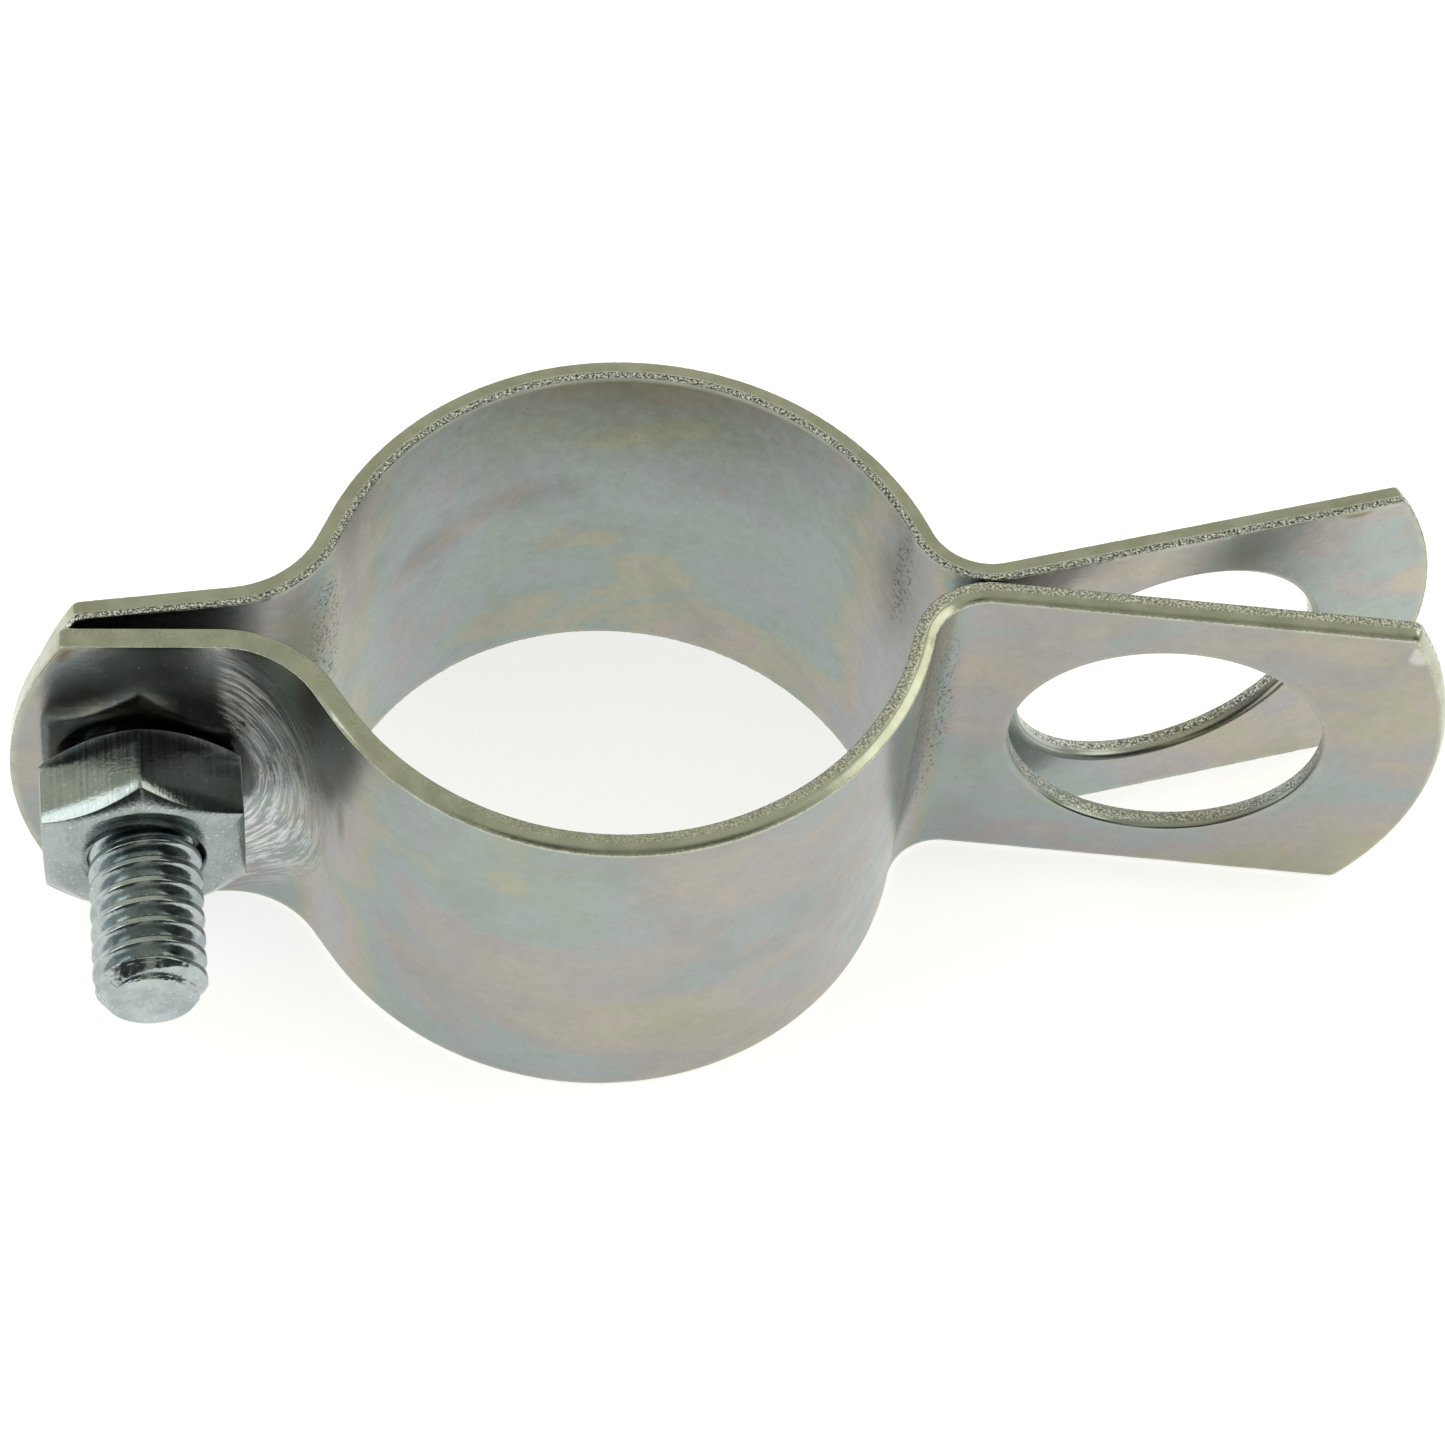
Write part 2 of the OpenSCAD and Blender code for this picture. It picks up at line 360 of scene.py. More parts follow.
def build_band(name, side):
    """One pressed band with its torn and rolled edges. side is -1 for the front, 1 for the rear."""
    outlines = [strip_outline(), hole_outline(BOLT_HOLE_S, BOLT_HOLE_R), hole_outline(EYE_S, EYE_R)]
    normals = [closed_curve_normals(loop) for loop in outlines]
    facet = np.clip((outlines[0][:, 0] - BOLT_EAR_LEN) / (RING_START_S - BOLT_EAR_LEN), 0, 1)
    profiles = [trimmed_edge(side, facet), punched_edge(side), punched_edge(side)]
    s, z, off, tear, edge, faces = [], [], [], [], [], []

    # The trimmed outline is burnished more than the two holes, and the front band's hose side
    # shows less tearing towards its bolt ear
    burnish = (1.0, 0.3, 0.3)
    least_tear = 0.15 if side < 0 else 1
    for loop, normal, rings, share in zip(outlines, normals, profiles, burnish):
        first = len(s)
        land = np.clip((loop[:, 0] - RING_START_S) / (RING_END_S - RING_START_S), least_tear, 1)
        count = len(loop)
        last = len(rings) - 1
        for number, (place, offset, torn_here) in enumerate(edge_rings(loop, normal, rings, side)):
            s += list(place[:, 0])
            z += list(place[:, 1])
            off += list(np.broadcast_to(offset, (count,)))
            tear += list(torn_here * np.where(np.broadcast_to(offset, (count,)) < 0, 1, land))
            edge += [0.0 if number in (0, last) else share] * count
        for number in range(last):
            a = first + number * count
            for k in range(count):
                j = (k + 1) % count
                faces.append((a + k, a + count + k, a + count + j, a + j))

    inset_loops = [loop - normal * FACE_INSET for loop, normal in zip(outlines, normals)]
    flat, triangles = triangulated_face(inset_loops)
    for offset, turned in ((BAND_T / 2, False), (-BAND_T / 2, True)):
        first = len(s)
        s += list(flat[:, 0])
        z += list(flat[:, 1])
        off += [offset] * len(flat)
        tear += [0.0] * len(flat)
        edge += [0.0] * len(flat)
        for a, b, c in triangles:
            faces.append((first + a, first + b, first + c) if not turned
                         else (first + a, first + c, first + b))

    s, z, off = np.array(s), np.array(z), np.array(off)
    places = bend_into_place(s, z, off, side)
    mesh = bpy.data.meshes.new(name)
    mesh.from_pydata([tuple(p) for p in places], [], faces)
    write_flat_places(mesh, s, z, off)
    write_value(mesh, "tear", tear)
    write_value(mesh, "edge", edge)
    weld(mesh)
    return new_object(name, mesh)


def write_flat_places(mesh, s, z, off):
    """Stores each corner's place on the flat sheet, in millimetres, for the materials."""
    flat = mesh.uv_layers.new(name="flat")
    corner = np.zeros(len(mesh.loops), dtype=np.int64)
    mesh.loops.foreach_get("vertex_index", corner)
    values = np.stack([s[corner], z[corner]], axis=1) / MM
    flat.data.foreach_set("uv", values.astype(np.float32).ravel())
    write_value(mesh, "depth", off / MM)


def write_value(mesh, name, values):
    """Stores one number for each point of a mesh, for the materials."""
    layer = mesh.attributes.new(name, "FLOAT", "POINT")
    layer.data.foreach_set("value", np.array(values, dtype=np.float32))


def weld(mesh):
    """Joins the points that lie together, turns the faces outwards and shades them smooth."""
    work = bmesh.new()
    work.from_mesh(mesh)
    bmesh.ops.remove_doubles(work, verts=work.verts, dist=0.001 * MM)
    bmesh.ops.dissolve_degenerate(work, edges=work.edges, dist=0.0005 * MM)
    bmesh.ops.recalc_face_normals(work, faces=work.faces)
    for face in work.faces:
        face.smooth = True
    work.to_mesh(mesh)
    work.free()


# ================================================================ bolt and nut shape
def hex_angles():
    """Angles round a hexagon with rounded corners: flats in even steps, corners closer."""
    flat = np.linspace(-HEX_ROUND_START, HEX_ROUND_START, 17)
    corner = np.linspace(HEX_ROUND_START, math.radians(60) - HEX_ROUND_START, 7)[1:-1]
    one_side = np.concatenate([flat, corner])
    return np.concatenate([one_side + math.radians(60) * k for k in range(6)])


def hex_radius(angle):
    """Radius of the rounded hexagon at each angle, with a flat facing angle 0."""
    turn = (angle + math.radians(30)) % math.radians(60) - math.radians(30)
    to_corner = math.radians(30) - np.abs(turn)
    centre = (HEX_APOTHEM - HEX_CORNER_ROUND) / math.cos(math.radians(30))
    reach = np.sqrt(np.maximum(0, HEX_CORNER_ROUND ** 2 - (centre * np.sin(to_corner)) ** 2))
    rounded = centre * np.cos(to_corner) + reach
    return np.where(np.abs(turn) > HEX_ROUND_START, rounded, HEX_APOTHEM / np.cos(turn))


def thread_height(phase):
    """Height of a V thread for a phase in turns: 0 in the rounded root, 1 on the flat crest."""
    away = np.abs((phase % 1.0) - 0.5) * 2
    flank = np.clip((1.0 - away) / THREAD_FLANK, 0, 1)
    return flank - 0.06 * np.sin(2 * math.pi * flank)


def turned_surface(angles, rings, close_ends):
    """Points and faces of a surface round the bolt's axis. Each ring is (radii, heights), with
    heights measured from the head's seat towards the tip."""
    points = []
    faces = []
    count = len(angles)
    for radii, heights in rings:
        radii = np.broadcast_to(radii, (count,))
        heights = np.broadcast_to(heights, (count,))
        x = BOLT_X + radii * np.cos(angles)
        z = BOLT_Z + radii * np.sin(angles)
        points += list(zip(x, SEAT_Y - heights, z))
    total = len(rings)
    for ring in range(total - 1 if close_ends else total):
        a = ring * count
        b = (ring + 1) % total * count
        for k in range(count):
            j = (k + 1) % count
            faces.append((a + k, a + j, b + j, b + k))
    if close_ends:
        faces.append(tuple(range(count))[::-1])
        faces.append(tuple(range((total - 1) * count, total * count)))
    return points, faces


def bolt_rings(angles):
    """Rings of the bolt from the top of its domed head to the tip."""
    rings = []
    for a in np.radians(np.concatenate([[0.5, 2], np.arange(4, 88, 3), [88.5]])):
        rings.append((HEAD_R * math.sin(a), -HEAD_H * math.cos(a)))
    rings += [(HEAD_R, -0.07 * MM), (HEAD_R - 0.02 * MM, -0.02 * MM), (HEAD_R - 0.08 * MM, 0),
              (HEAD_R - 0.2 * MM, 0), (BOLT_R + 0.25 * MM, 0)]
    for height in np.arange(0.03 * MM, BOLT_LEN - 0.02 * MM, BOLT_STEP):
        rings.append((thread_radius(angles, height), height))
    rings += [(TIP_R - 0.02 * MM, BOLT_LEN - 0.01 * MM), (TIP_R - 0.1 * MM, BOLT_LEN),
              (TIP_R * 0.7, BOLT_LEN - 0.015 * MM), (TIP_R * 0.3, BOLT_LEN - 0.03 * MM)]
    return rings


def thread_radius(angles, height):
    """Radius of the threaded shank at a distance under the head: a right-hand helix that fades
    out under the head and is cut by a dented chamfer at the tip."""
    phase = height / PITCH - angles / (2 * math.pi)
    fade = min(1.0, max(0.0, (height - 0.8 * MM) / (1.2 * MM)))
    root = BOLT_R - THREAD_DEPTH * fade
    radius = root + (BOLT_R - root) * thread_height(phase)
    fillet = 0.25 * MM * max(0.0, 1 - height / (0.3 * MM)) ** 2
    chamfer = TIP_R + (BOLT_LEN - height) * 0.8
    dents = np.array([torn((height, a * BOLT_R), 0.2 * MM, 5) for a in angles])
    chamfer = chamfer - np.abs(dents) * 0.12 * MM * (BOLT_LEN - height > 0.08 * MM)
    return np.minimum(radius + fillet, chamfer)


def cut_slot(mesh):
    """Cuts the driver slot across the head with a box."""
    blank = new_object("bolt_blank", mesh)
    box = bmesh.new()
    bmesh.ops.create_cube(box, size=1)
    depth = SLOT_DEPTH + 1 * MM
    reach = 3 * HEAD_R
    middle = BOLT_HIGH.y - SLOT_DEPTH + depth / 2
    bmesh.ops.transform(box, verts=box.verts, matrix=Matrix.Translation((BOLT_X, middle, BOLT_Z))
                        @ Matrix.Diagonal((reach, depth, SLOT_W, 1)))
    cutter_mesh = bpy.data.meshes.new("slot_cutter")
    box.to_mesh(cutter_mesh)
    box.free()
    cutter = new_object("slot_cutter", cutter_mesh)
    cut = blank.modifiers.new("slot", "BOOLEAN")
    cut.object = cutter
    cut.solver = "EXACT"
    result = bpy.data.meshes.new_from_object(blank.evaluated_get(bpy.context.evaluated_depsgraph_get()))
    bpy.data.objects.remove(cutter)
    bpy.data.objects.remove(blank)
    return result


def build_bolt():
    """The bolt with its slotted domed head and its thread."""
    angles = np.linspace(0, 2 * math.pi, BOLT_SIDES, endpoint=False)
    points, faces = turned_surface(angles, bolt_rings(angles), True)
    mesh = bpy.data.meshes.new("round_head_bolt_detailed")
    mesh.from_pydata(points, [], faces)
    weld(mesh)
    mesh = cut_slot(mesh)
    weld(mesh)
    mesh.set_sharp_from_angle(angle=SHARP_ANGLE)
    return new_object("round_head_bolt_detailed", mesh)


def nut_rings(angles):
    """Rings round the nut's section: outside from the ear to the tip side, then back down the
    threaded bore."""
    near = SEAT_Y - NUT_HIGH.y
    far = SEAT_Y - NUT_LOW.y
    corner = hex_radius(angles)
    drop = (corner - NUT_SEAT_R) * HEX_CHAMFER
    mouth = BOLT_R + 0.35 * MM
    soft = 0.05 * MM
    rings = [(mouth, near), (NUT_SEAT_R - soft, near), (NUT_SEAT_R + soft, near + soft / 2),
             (corner - soft, near + drop - soft / 2), (corner, near + drop + soft)]
    rings += [(corner, near + (far - near) * k / 4) for k in (1.2, 2, 2.8)]
    rings += [(corner, far - drop - soft), (corner - soft, far - drop + soft / 2),
              (NUT_SEAT_R + soft, far - soft / 2), (NUT_SEAT_R - soft, far),
              (mouth + soft, far), (mouth, far - soft / 2)]
    for height in np.arange(far - 0.05 * MM, near + 0.05 * MM, -NUT_STEP):
        cut = max(0.0, mouth - min(far - height, height - near))
        phase = height / PITCH - angles / (2 * math.pi)
        bore = BOLT_R + THREAD_PLAY - NUT_THREAD_DEPTH * (1 - thread_height(phase))
        rings.append((np.maximum(bore, cut), height))
    return rings


def build_nut():
    """The hex nut with its threaded bore."""
    angles = hex_angles()
    points, faces = turned_surface(angles, nut_rings(angles), False)
    mesh = bpy.data.meshes.new("hex_nut_detailed")
    mesh.from_pydata(points, [], faces)
    weld(mesh)
    return new_object("hex_nut_detailed", mesh)


# ================================================================ materials
class Nodes:
    """A node tree with short calls for the nodes that this scene uses."""

    def __init__(self, tree):
        self.tree = tree

    def add(self, kind, values=(), **settings):
        """A new node. values pairs sockets with numbers or outputs; settings are its properties."""
        node = self.tree.nodes.new("ShaderNode" + kind)
        for key, value in settings.items():
            setattr(node, key, value)
        for socket, value in values:
            self.feed(node.inputs[socket], value)
        return node

    def feed(self, socket, value):
        """Links an output to a socket, or sets the socket to a number."""
        if isinstance(value, bpy.types.NodeSocket):
            self.tree.links.new(value, socket)
        else:
            socket.default_value = value

    def math(self, operation, a, b=0.0, clamp=False):
        return self.add("Math", [(0, a), (1, b)], operation=operation, use_clamp=clamp).outputs[0]

    def fade(self, value, low, high, out_low=0.0, out_high=1.0):
        node = self.add("MapRange", [("Value", value), ("From Min", low), ("From Max", high),
                                     ("To Min", out_low), ("To Max", out_high)],
                        interpolation_type="SMOOTHSTEP")
        return node.outputs[0]

    def mix(self, factor, a, b):
        node = self.add("Mix", data_type="RGBA")
        self.feed(node.inputs["Factor"], factor)
        self.feed(node.inputs["A"], a if isinstance(a, bpy.types.NodeSocket) else (*a, 1))
        self.feed(node.inputs["B"], b if isinstance(b, bpy.types.NodeSocket) else (*b, 1))
        return node.outputs["Result"]

    def product(self, a, b):
        return self.math("MULTIPLY", a, b)


class Sheet(Nodes):
    """The node tree of one new material."""

    def __init__(self, name):
        self.material = bpy.data.materials.new(name)
        self.material.use_nodes = True
        super().__init__(self.material.node_tree)
        self.shader = self.tree.nodes["Principled BSDF"]

    def scaled(self, vector, scale, shift=(0, 0, 0)):
        node = self.add("Mapping", [("Vector", vector), ("Scale", scale), ("Location", shift)])
        return node.outputs[0]

    def noise(self, vector, scale=1.0, detail=3.0, roughness=0.5, distortion=0.0):
        node = self.add("TexNoise", [("Vector", vector), ("Scale", scale), ("Detail", detail),
                                     ("Roughness", roughness), ("Distortion", distortion)])
        return node.outputs["Fac"]

    def ramp(self, value, stops):
        node = self.add("ValToRGB", [("Fac", value)])
        node.color_ramp.interpolation = "EASE"
        while len(node.color_ramp.elements) < len(stops):
            node.color_ramp.elements.new(0.5)
        for element, (place, colour) in zip(node.color_ramp.elements, stops):
            element.position = place
            element.color = (*colour, 1)
        return node.outputs[0]

    def bump(self, height, depth, normal=None):
        node = self.add("Bump", [("Height", height), ("Distance", depth), ("Strength", 1.0)])
        if normal is not None:
            self.tree.links.new(normal, node.inputs["Normal"])
        return node.outputs[0]


# Reflection colours of the thin yellow and blue film on zinc plate, in the order they follow
# one another as the film gets thicker
PLATED_TINTS = [(0.18, (0.46, 0.445, 0.40)), (0.30, (0.43, 0.415, 0.315)), (0.39, (0.44, 0.405, 0.36)),
                (0.46, (0.405, 0.385, 0.385)), (0.53, (0.36, 0.405, 0.415)), (0.60, (0.345, 0.405, 0.375)),
                (0.67, (0.41, 0.41, 0.325)), (0.74, (0.44, 0.40, 0.36)), (0.84, (0.39, 0.40, 0.405))]
FRONT_TONE = 0.86
BARE_DARK = (0.05, 0.05, 0.04)
STAIN = (0.17, 0.12, 0.06)
SMUDGE = (0.22, 0.225, 0.21)
MOTTLE = (0.20, 0.20, 0.18)
# Dark olive for smears, used also for painted shade and painted dark reflection
SMEAR_AND_PAINTED_SHADE = (0.13, 0.13, 0.08)
RUBBED = (0.62, 0.63, 0.60)
# Rubbed wrench arcs, real wear lightened further by a painted highlight
WRENCH_RUBBED_WITH_HIGHLIGHT = (0.80, 0.81, 0.80)
BURNISHED = [(0.35, (0.37, 0.385, 0.31)), (0.65, (0.45, 0.465, 0.39))]
# Torn edge grain with painted glints (near white) and painted dark specks of shade
TORN_WITH_PAINTED_GLINTS = [(0.40, (0.05, 0.06, 0.06)), (0.49, (0.34, 0.36, 0.34)), (0.58, (0.95, 0.95, 0.90))]
PAINTED_GLINT_SPECK = (0.75, 0.77, 0.76)
PAINTED_SHADE_SPECK = (0.12, 0.13, 0.13)
FLOOR_WHITE = [(0.3, (0.90, 0.90, 0.90)), (0.7, (0.92, 0.92, 0.92))]
ROOM_LOW = (0.88, 0.90, 0.90)
ROOM_HIGH = (0.66, 0.66, 0.52)
ROOM_OPENING = (0.045, 0.055, 0.055)


def object_places(sheet):
    """Places on the object in millimetres."""
    coordinates = sheet.add("TexCoord").outputs["Object"]
    return sheet.scaled(coordinates, (1000, 1000, 1000))


def spot(sheet, flat, middle, reach, grain, ragged=0.5, core=0.6):
    """1 inside an uneven patch on the flat sheet, 0 outside. Sizes are in millimetres. The patch
    begins to fade at core, a share of its reach."""
    shift = (-middle[0] / reach[0], -middle[1] / reach[1], 0)
    away = sheet.scaled(flat, (1 / reach[0], 1 / reach[1], 0), shift)
    distance = sheet.add("VectorMath", [(0, away)], operation="LENGTH").outputs["Value"]
    uneven = sheet.math("MULTIPLY_ADD", grain, ragged)
    uneven.node.inputs[2].default_value = -ragged / 2
    return sheet.fade(sheet.math("ADD", distance, uneven), core, 1.1, 1, 0)


def on_side(sheet, mask, depth, outer):
    """Keeps a mask on the outer or on the hose side of the sheet only."""
    chosen = sheet.math("LESS_THAN" if outer else "GREATER_THAN", depth, -0.2 if outer else 0.2)
    return sheet.product(mask, chosen)


def band_colour(sheet, flat, place, side):
    """Film tints that drift over the sheet, and run through their colours faster at the bends.
    Returns the colour and the rolling streaks in it."""
    warp = sheet.noise(sheet.scaled(flat, (0.035, 0.06, 1), (side * 7, 3, 0)), 1, 3, 0.5, 0.9)
    cloud = sheet.noise(sheet.scaled(flat, (0.08, 0.14, 1), (2, side * 5, 4)), 1, 5, 0.6, 1.4)
    along = sheet.add("SeparateXYZ", [(0, flat)]).outputs[0]
    neck = sheet.math("SUBTRACT", sheet.fade(along, RING_END_S / MM - 7, RING_END_S / MM + 0.5, 0, 0.34),
                      sheet.fade(along, RING_END_S / MM + 0.5, RING_END_S / MM + 5, 0, 0.385))
    throat = sheet.math("SUBTRACT", sheet.fade(along, BOLT_EAR_LEN / MM + 2, RING_START_S / MM, 0, 0.26),
                        sheet.fade(along, RING_START_S / MM, RING_START_S / MM + 6, 0, 0.24))
    film = sheet.math("ADD", sheet.product(warp, 0.8), sheet.product(cloud, 0.45))
    film = sheet.math("ADD", film, sheet.math("ADD", neck, throat))
    streak = sheet.noise(sheet.scaled(flat, (0.05, 1.1, 1)), 1, 4, 0.6, 0.4)
    film = sheet.math("ADD", film, sheet.product(streak, 0.12))
    film = sheet.math("SUBTRACT", film, 0.20 - 0.03 * side)
    tone = FRONT_TONE if side < 0 else 1.0
    tints = [(place_on_ramp, [tone * part for part in tint]) for place_on_ramp, tint in PLATED_TINTS]
    colour = sheet.ramp(film, tints)

    smudge = sheet.noise(place, 0.16, 5, 0.6, 0.4)
    colour = sheet.mix(sheet.fade(smudge, 0.42, 0.72, 0, 0.28), colour, SMUDGE)
    mottle = sheet.noise(place, 1.6, 4, 0.65)
    return sheet.mix(sheet.fade(mottle, 0.35, 0.7, 0, 0.14), colour, MOTTLE), streak


def band_marks(sheet, colour, flat, place, depth, side):
    """Adds the stains, dark smears, pits and rubbed places of a band. Some of the dark smears are painted
    shade and painted dark reflection rather than dirt. Returns the colour and how deep the pits are.
    Each mark is (middle, reach) in millimetres on the flat sheet, and a smear also has its strength
    and whether it is on the outer side."""
    grain = sheet.noise(place, 1.3, 4, 0.6)
    fine = sheet.noise(place, 4.5, 3, 0.6)
    top = BAND_W / MM
    end = BAND_LEN / MM
    neck_s = (RING_END_S + 3.3 * MM) / MM
    if side < 0:
        stains = [((2.6, top), (1.6, 1.6)), ((neck_s - 5, top), (1.1, 0.8))]
        # Painted dark reflection: the first two smears darken the outer side beside the bolt-side bend
        smears_and_painted_shade = [((RING_START_S / MM + 0.9, 15.8), (0.5, 2.6), 0.75, True),
                  ((RING_START_S / MM - 0.7, 17.3), (1.6, 2.2), 0.7, True),
                  ((neck_s, 14), (1.6, 9.5), 0.25, True)]
        pitted = [((neck_s - 0.6, 14.5), (1.7, 9.5))]
    else:
        stains = [((end - 6.5, top), (1.2, 0.9)), ((3.0, top), (1.5, 1.2))]
        # Painted shade: the first smear is a broad darkening over the top of the inner side
        smears_and_painted_shade = [((41, 28), (21, 14), 0.92, False), ((35, 15), (5, 2.2), 0.30, False),
                  ((28, 14), (4, 2), 0.25, False), ((15.5, 19), (3.2, 9), 0.8, False),
                  ((60.5, 20), (3.0, 7), 0.6, False), ((end - 14, 23.5), (4.5, 3.6), 0.5, False)]
        pitted = [((17.5, 17.5), (1.6, 7)), ((61, 20.5), (1.0, 4.5))]
    for middle, reach in stains:
        mask = spot(sheet, flat, middle, reach, grain, 1.0)
        colour = sheet.mix(sheet.product(mask, 0.75), colour, STAIN)
    # Dark smears, partly painted shade and painted dark reflection
    for middle, reach, strength, outer in smears_and_painted_shade:
        mask = on_side(sheet, spot(sheet, flat, middle, reach, grain, 0.35, 0.05), depth, outer)
        colour = sheet.mix(sheet.product(mask, strength), colour, SMEAR_AND_PAINTED_SHADE)
    hollow = sheet.product(sheet.fade(fine, 0.70, 0.76, 0, 1), 0.35)
    for middle, reach in pitted:
        area = spot(sheet, flat, middle, reach, grain, 0.6)
        here = sheet.product(area, sheet.fade(fine, 0.56, 0.66, 0, 1))
        hollow = sheet.math("MAXIMUM", hollow, here)
    colour = sheet.mix(sheet.product(hollow, 0.55), colour, BARE_DARK)
    if side < 0:
        rubbed = spot(sheet, flat, (end - 3.2, top - 1.6), (0.7, 1.1), grain, 0.8)
        colour = sheet.mix(sheet.product(on_side(sheet, rubbed, depth, True), 0.6), colour, RUBBED)
    return colour, hollow


def wrench_marks(sheet, flat, depth):
    """Arcs rubbed by a turning wrench round the bolt hole. Returns the arcs, where they show, and
    the distance from the hole's centre in millimetres."""
    middle = (BOLT_HOLE_S / MM, BAND_W / MM / 2)
    away = sheet.scaled(flat, (1, 1, 0), (-middle[0], -middle[1], 0))
    distance = sheet.add("VectorMath", [(0, away)], operation="LENGTH").outputs["Value"]
    parts = sheet.add("SeparateXYZ", [(0, away)])
    angle = sheet.math("ARCTAN2", parts.outputs[1], parts.outputs[0])
    swept = sheet.add("CombineXYZ", [(0, sheet.product(distance, 3.6)),
                                     (1, sheet.product(angle, 2.6))]).outputs[0]
    arcs = sheet.noise(swept, 1, 5, 0.75, 0.5)
    ring = sheet.product(sheet.fade(distance, 6.6, 7.4, 0, 1), sheet.fade(distance, 10, 14.5, 1, 0))
    sector = sheet.fade(parts.outputs[0], 4.4, 5.6, 0, 1)
    mask = on_side(sheet, sheet.product(ring, sector), depth, True)
    return arcs, mask, distance


def band_material(name, side):
    """Thin film tints on zinc plate, with rolling streaks, dark smears partly of painted shade, pits,
    scuffs, wrench arcs lightened with a painted highlight, and torn edges speckled with painted glints and
    painted shade.
    """
    sheet = Sheet(name)
    flat = sheet.add("UVMap", uv_map="flat").outputs[0]
    place = object_places(sheet)
    tear = sheet.add("Attribute", attribute_name="tear").outputs["Fac"]
    edge = sheet.add("Attribute", attribute_name="edge").outputs["Fac"]
    depth = sheet.add("Attribute", attribute_name="depth").outputs["Fac"]

    colour, streak = band_colour(sheet, flat, place, side)
    colour, hollow = band_marks(sheet, colour, flat, place, depth, side)
    arcs, rubbed, from_hole = wrench_marks(sheet, flat, depth)
    bright_arcs = sheet.product(sheet.fade(arcs, 0.46, 0.58, 0, 1), rubbed)
    # Rubbed arcs lightened: real wear with a painted highlight
    colour = sheet.mix(sheet.product(bright_arcs, 0.85), colour, WRENCH_RUBBED_WITH_HIGHLIGHT)

    burnished = sheet.ramp(sheet.noise(place, 0.7, 3, 0.5), BURNISHED)
    colour = sheet.mix(sheet.product(edge, 0.85), colour, burnished)
    grain = sheet.noise(place, 6.5, 4, 0.7)
    torn_mask = sheet.product(tear, 0.6 if side < 0 else 1.0)
    # Torn metal grain with painted glints and painted dark specks of shade
    colour = sheet.mix(torn_mask, colour, sheet.ramp(grain, TORN_WITH_PAINTED_GLINTS))
    sheet.feed(sheet.shader.inputs["Base Color"], colour)
    sheet.shader.inputs["Metallic"].default_value = 1.0

    rough = sheet.fade(sheet.noise(place, 0.2, 4, 0.6), 0.3, 0.7, 0.22, 0.31)
    polished = on_side(sheet, sheet.fade(from_hole, 7.5, 9.5, 1, 0), depth, True)
    rough = sheet.math("SUBTRACT", rough, sheet.product(polished, 0.13))
    rough = sheet.math("SUBTRACT", rough, sheet.product(edge, 0.08))
    rough = sheet.math("ADD", rough, sheet.product(bright_arcs, 0.22))
    rough = sheet.math("ADD", rough, sheet.product(hollow, 0.2), clamp=True)
    sheet.feed(sheet.shader.inputs["Roughness"], rough)

    peel = sheet.noise(place, 1.9, 2, 0.5)
    normal = sheet.bump(peel, 0.006 * MM)
    normal = sheet.bump(sheet.noise(place, 9.0, 3, 0.6), 0.003 * MM, normal)
    normal = sheet.bump(streak, 0.006 * MM, normal)
    normal = sheet.bump(sheet.product(hollow, -1.0), 0.03 * MM, normal)
    normal = sheet.bump(sheet.product(arcs, rubbed), 0.06 * MM, normal)
    normal = sheet.bump(sheet.product(grain, tear), (0.06 if side < 0 else 0.14) * MM, normal)
    sheet.feed(sheet.shader.inputs["Normal"], normal)
    return sheet.material


def fastener_material(name, colour_dark, colour_light, roughness, drawn):
    """Bright zinc plate with marks that run along the bolt's axis when drawn is true, sprinkled with
    painted glints and dark specks of painted shade.
    """
    sheet = Sheet(name)
    place = object_places(sheet)
    stretch = (5.0, 0.16, 5.0) if drawn else (1.2, 1.2, 1.2)
    marks = sheet.noise(sheet.scaled(place, stretch), 1, 4, 0.6)
    cloud = sheet.noise(place, 0.4, 3, 0.5)
    tone = sheet.math("ADD", sheet.product(marks, 0.45), sheet.product(cloud, 0.55))
    colour = sheet.ramp(tone, [(0.38, colour_dark), (0.60, colour_light)])
    specks = sheet.noise(place, 4.2, 3, 0.65)
    # Painted glints and painted dark specks of shade, scattered over the plate
    colour = sheet.mix(sheet.fade(specks, 0.62, 0.70, 0, 0.5), colour, PAINTED_GLINT_SPECK)
    colour = sheet.mix(sheet.fade(specks, 0.36, 0.28, 0, 0.4), colour, PAINTED_SHADE_SPECK)
    sheet.feed(sheet.shader.inputs["Base Color"], colour)
    sheet.shader.inputs["Metallic"].default_value = 1.0
    sheet.feed(sheet.shader.inputs["Roughness"],
               sheet.fade(marks, 0.3, 0.7, roughness - 0.03, roughness + 0.06))
    normal = sheet.bump(sheet.noise(place, 7.0, 3, 0.6), 0.004 * MM)
    normal = sheet.bump(marks, 0.004 * MM, normal)
    normal = sheet.bump(specks, 0.012 * MM, normal)
    sheet.feed(sheet.shader.inputs["Normal"], normal)
    return sheet.material


def floor_material():
    """Plain white table, faintly lit from below, with a very faint unevenness."""
    sheet = Sheet("floor_white")
    place = object_places(sheet)
    sheet.feed(sheet.shader.inputs["Base Color"], sheet.ramp(sheet.noise(place, 0.02, 2), FLOOR_WHITE))
    sheet.shader.inputs["Roughness"].default_value = 0.85
    sheet.shader.inputs["Specular IOR Level"].default_value = 0.1
    sheet.shader.inputs["Emission Color"].default_value = (1.0, 1.0, 1.0, 1.0)
    sheet.shader.inputs["Emission Strength"].default_value = 0.7
    return sheet.material


# ================================================================ stage, light and camera
def build_floor():
    """The flat table that the clamp stands on."""
    corners = [(-1, -1), (1, -1), (1, 1), (-1, 1)]
    mesh = bpy.data.meshes.new("floor")
    mesh.from_pydata([(x * FLOOR_HALF, y * FLOOR_HALF, 0) for x, y in corners], [], [(0, 1, 2, 3)])
    floor = new_object("floor", mesh)
    mesh.materials.append(floor_material())


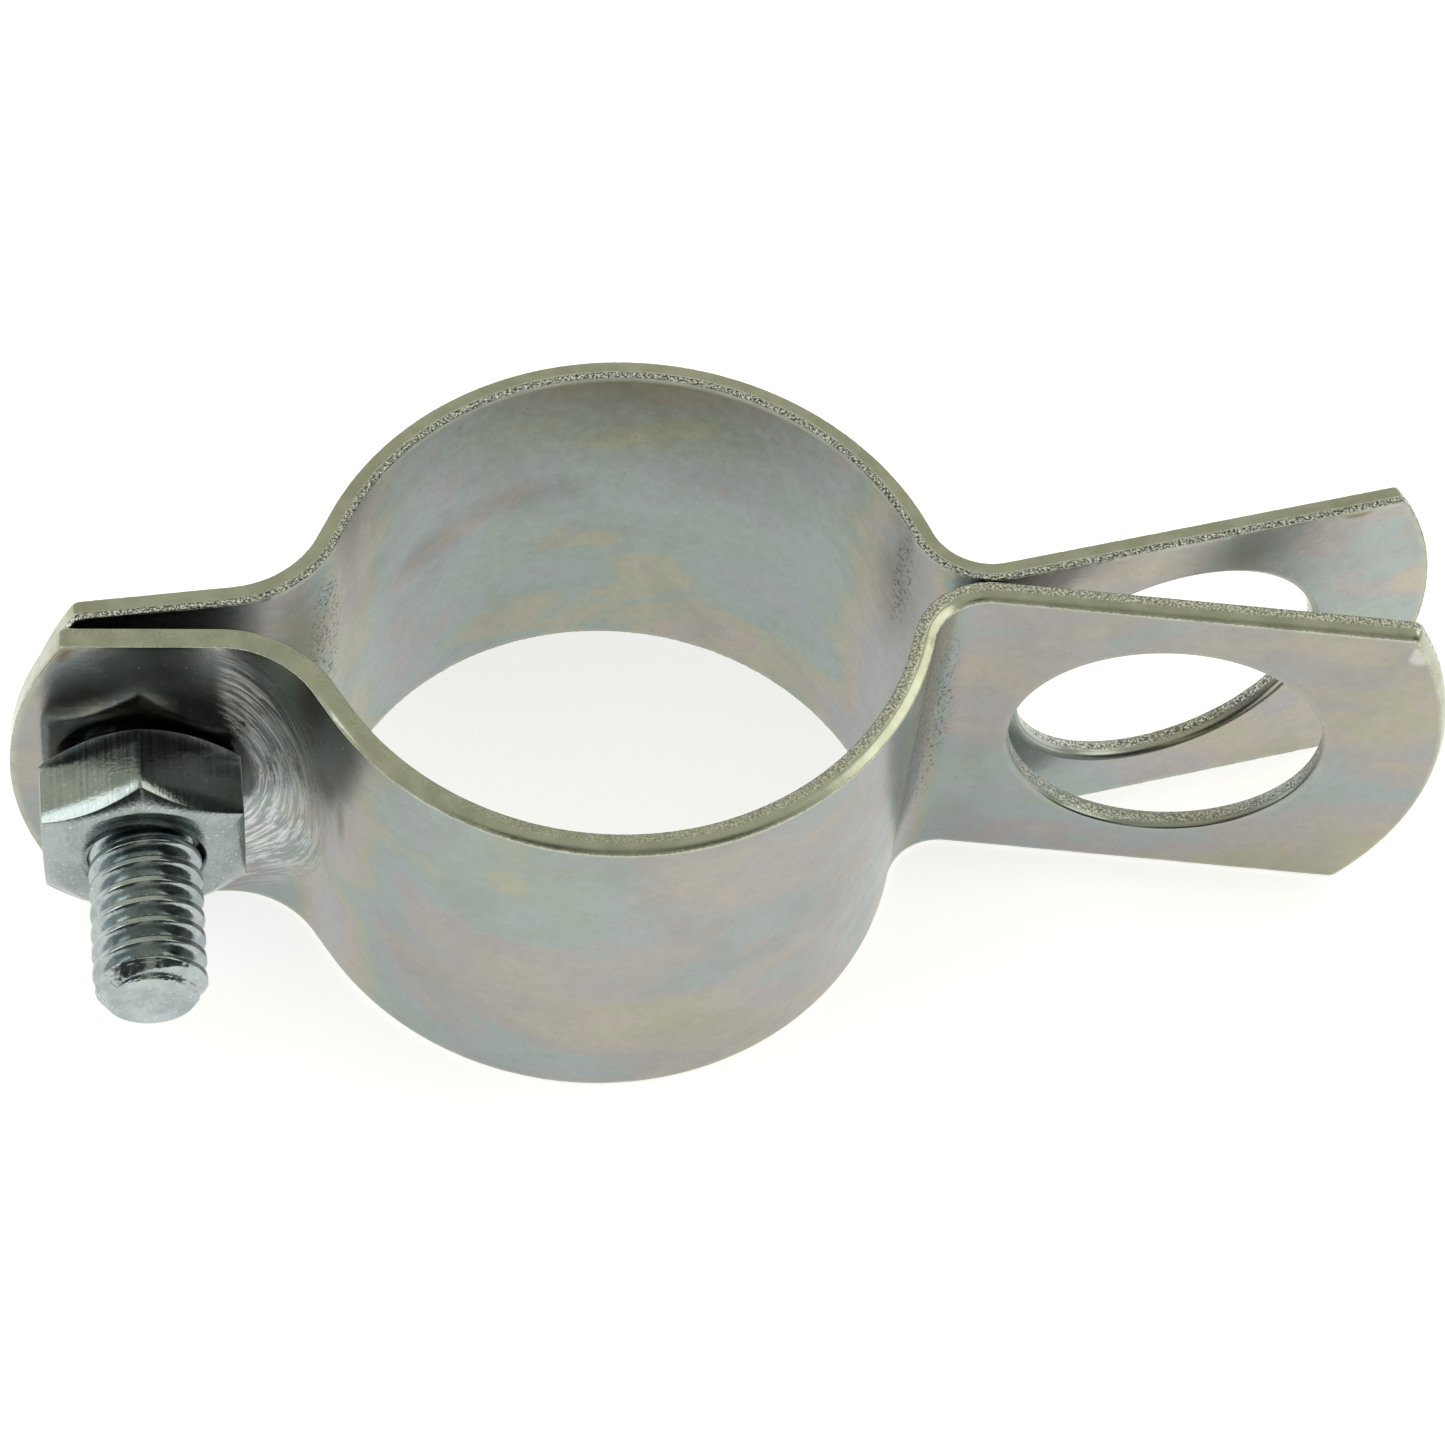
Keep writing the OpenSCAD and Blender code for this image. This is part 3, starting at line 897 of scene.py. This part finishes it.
def build_world():
    """A warm room over a pale lower part, and in front a dark opening with a paler middle."""
    world = bpy.data.worlds.new("studio")
    bpy.context.scene.world = world
    world.use_nodes = True
    room = Nodes(world.node_tree)
    direction = room.add("TexCoord").outputs["Generated"]
    x, y, z = room.add("SeparateXYZ", [(0, direction)]).outputs
    sideways = room.math("ABSOLUTE", room.math("SUBTRACT", x, 0.06))
    front = room.fade(y, -0.46, -0.24, 1, 0)
    narrow = room.fade(sideways, 0.86, 0.95, 1, 0)
    raised = room.fade(z, 0.05, 0.13, 0, 1)
    dark = room.product(room.product(front, narrow), raised)
    middle = room.fade(sideways, 0.06, 0.24, 0.6, 0)
    opening = room.math("SUBTRACT", dark, room.product(dark, middle))
    colour = room.mix(raised, ROOM_LOW, ROOM_HIGH)
    colour = room.mix(opening, colour, ROOM_OPENING)
    background = room.tree.nodes["Background"]
    room.feed(background.inputs["Color"], colour)
    background.inputs["Strength"].default_value = 1.0


def area_light(name, place, size, power, colour):
    """A round soft lamp that points at the origin."""
    light = bpy.data.lights.new(name, "AREA")
    light.shape = "DISK"
    light.size = size
    light.energy = power
    light.color = colour
    lamp = bpy.data.objects.new(name, light)
    bpy.context.scene.collection.objects.link(lamp)
    lamp.location = place
    aim = Vector((0, 0, 0)) - Vector(place)
    lamp.rotation_euler = aim.to_track_quat("-Z", "Y").to_euler()


def build_lights():
    """Two weak lamps, high on the left and on the right."""
    area_light("left_soft", (-0.80, 0.12, 0.45), 0.5, 1.2, (0.96, 0.99, 1.0))
    area_light("right_soft", (0.75, 0.10, 0.62), 0.6, 1.2, (1.0, 0.98, 0.84))


def build_camera():
    """Looks down on the clamp from the nut side, slightly rolled."""
    e, a = VIEW_ELEVATION, VIEW_AZIMUTH
    forward = Vector((-math.sin(a) * math.cos(e), math.cos(a) * math.cos(e), -math.sin(e)))
    right = Vector((math.cos(a), math.sin(a), 0))
    up = right.cross(forward)
    right_rolled = math.cos(VIEW_ROLL) * right + math.sin(VIEW_ROLL) * up
    up_rolled = math.cos(VIEW_ROLL) * up - math.sin(VIEW_ROLL) * right
    turn = Matrix((right_rolled, up_rolled, -forward)).transposed()
    data = bpy.data.cameras.new("view")
    data.lens = VIEW_LENS
    data.sensor_width = 36
    data.clip_start = 0.01
    camera = bpy.data.objects.new("view", data)
    bpy.context.scene.collection.objects.link(camera)
    camera.matrix_world = Matrix.Translation(VIEW_AIM - forward * VIEW_DISTANCE) @ turn.to_4x4()
    bpy.context.scene.camera = camera


def finish_piece(piece, node, body, material):
    """Gives a piece its material and body, and hides the CAD node that it stands for."""
    piece.data.materials.append(material)
    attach(piece, body)
    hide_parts(node)


build_camera()
build_floor()
build_world()
build_lights()

finish_piece(build_band("front_band_detailed", -1), "front_band", "front_half",
             band_material("front_band_zinc", -1))
finish_piece(build_band("rear_band_detailed", 1), "rear_band", "rear_half",
             band_material("rear_band_zinc", 1))
finish_piece(build_bolt(), "round_head_bolt", "bolt",
             fastener_material("bolt_zinc", (0.30, 0.345, 0.37), (0.42, 0.47, 0.49), 0.16, False))
finish_piece(build_nut(), "hex_nut", "nut",
             fastener_material("nut_zinc", (0.24, 0.28, 0.285), (0.34, 0.38, 0.38), 0.15, True))

bpy.context.scene.view_settings.view_transform = "Standard"
